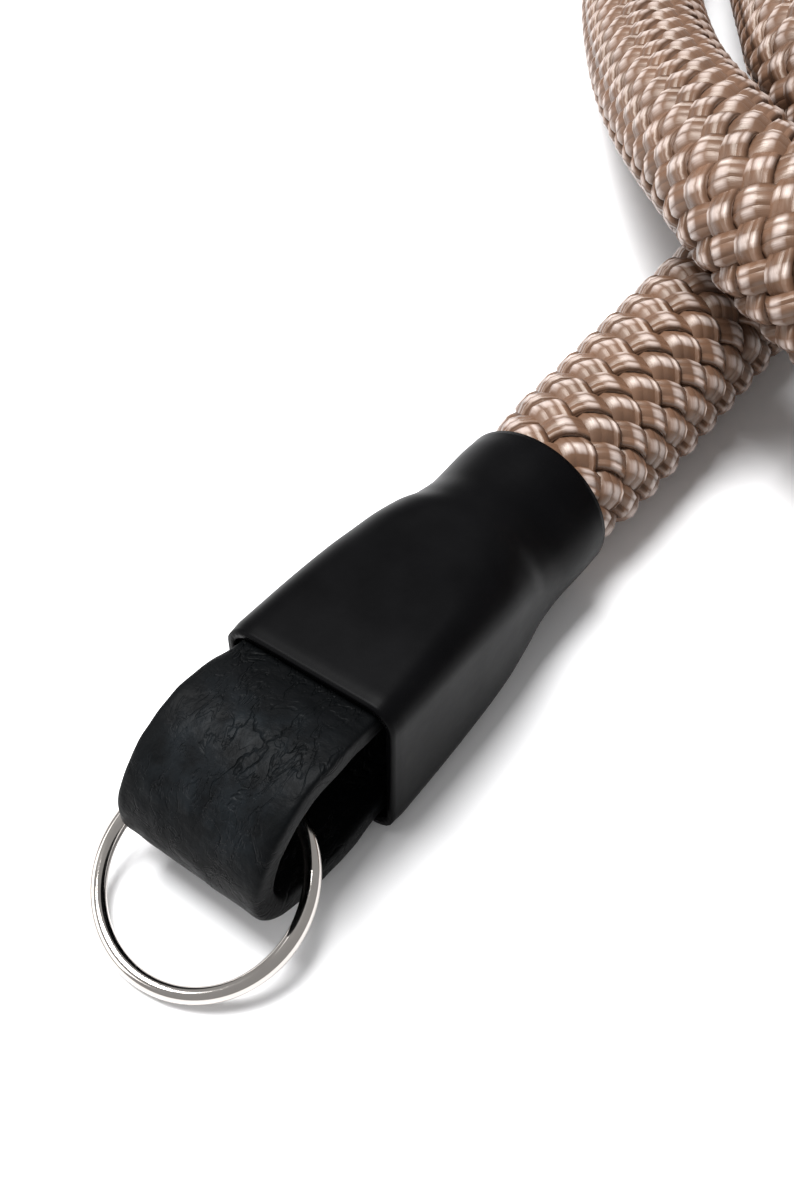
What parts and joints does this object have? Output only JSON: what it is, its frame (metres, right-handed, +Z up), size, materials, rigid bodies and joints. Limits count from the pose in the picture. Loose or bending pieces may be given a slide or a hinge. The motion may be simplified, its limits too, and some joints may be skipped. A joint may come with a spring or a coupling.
{
  "type": "camera neck strap",
  "caption": "Round braided rope camera strap whose ends are each a leather loop, shrunk on by a black sleeve, that holds a round wire ring.",
  "frame": {"origin": "middle of the near sleeve's flat resting face, on the table", "axes": "+Z up from the table; +X along the near end, from its ring towards its rope; +Y to the left of that"},
  "size_m": [0.2014, 0.1788, 0.0249],
  "materials": {
    "rope_braid": "silky tan braid",
    "leather": "matt black, worn at the creases",
    "shrink_sleeve": "satin black",
    "ring_steel": "polished"
  },
  "bodies": {
    "strap": {"rope": "rope_braid", "near_sleeve": "shrink_sleeve", "near_leather_loop": "leather", "far_sleeve": "shrink_sleeve", "far_leather_loop": "leather"},
    "near_ring": {"near_ring": "ring_steel"},
    "far_ring": {"far_ring": "ring_steel"}
  },
  "joints": [
    {"name": "near_ring_swing", "type": "hinge", "parent": "strap", "child": "near_ring", "pos_m": [-0.0181, -0.0004, 0.006], "axis": [0, 1, 0], "range_deg": [0, 125]},
    {"name": "far_ring_swing", "type": "hinge", "parent": "strap", "child": "far_ring", "pos_m": [0.1324, -0.1101, 0.006], "axis": [-1, 0, 0], "range_deg": [0, 125]}
  ]
}
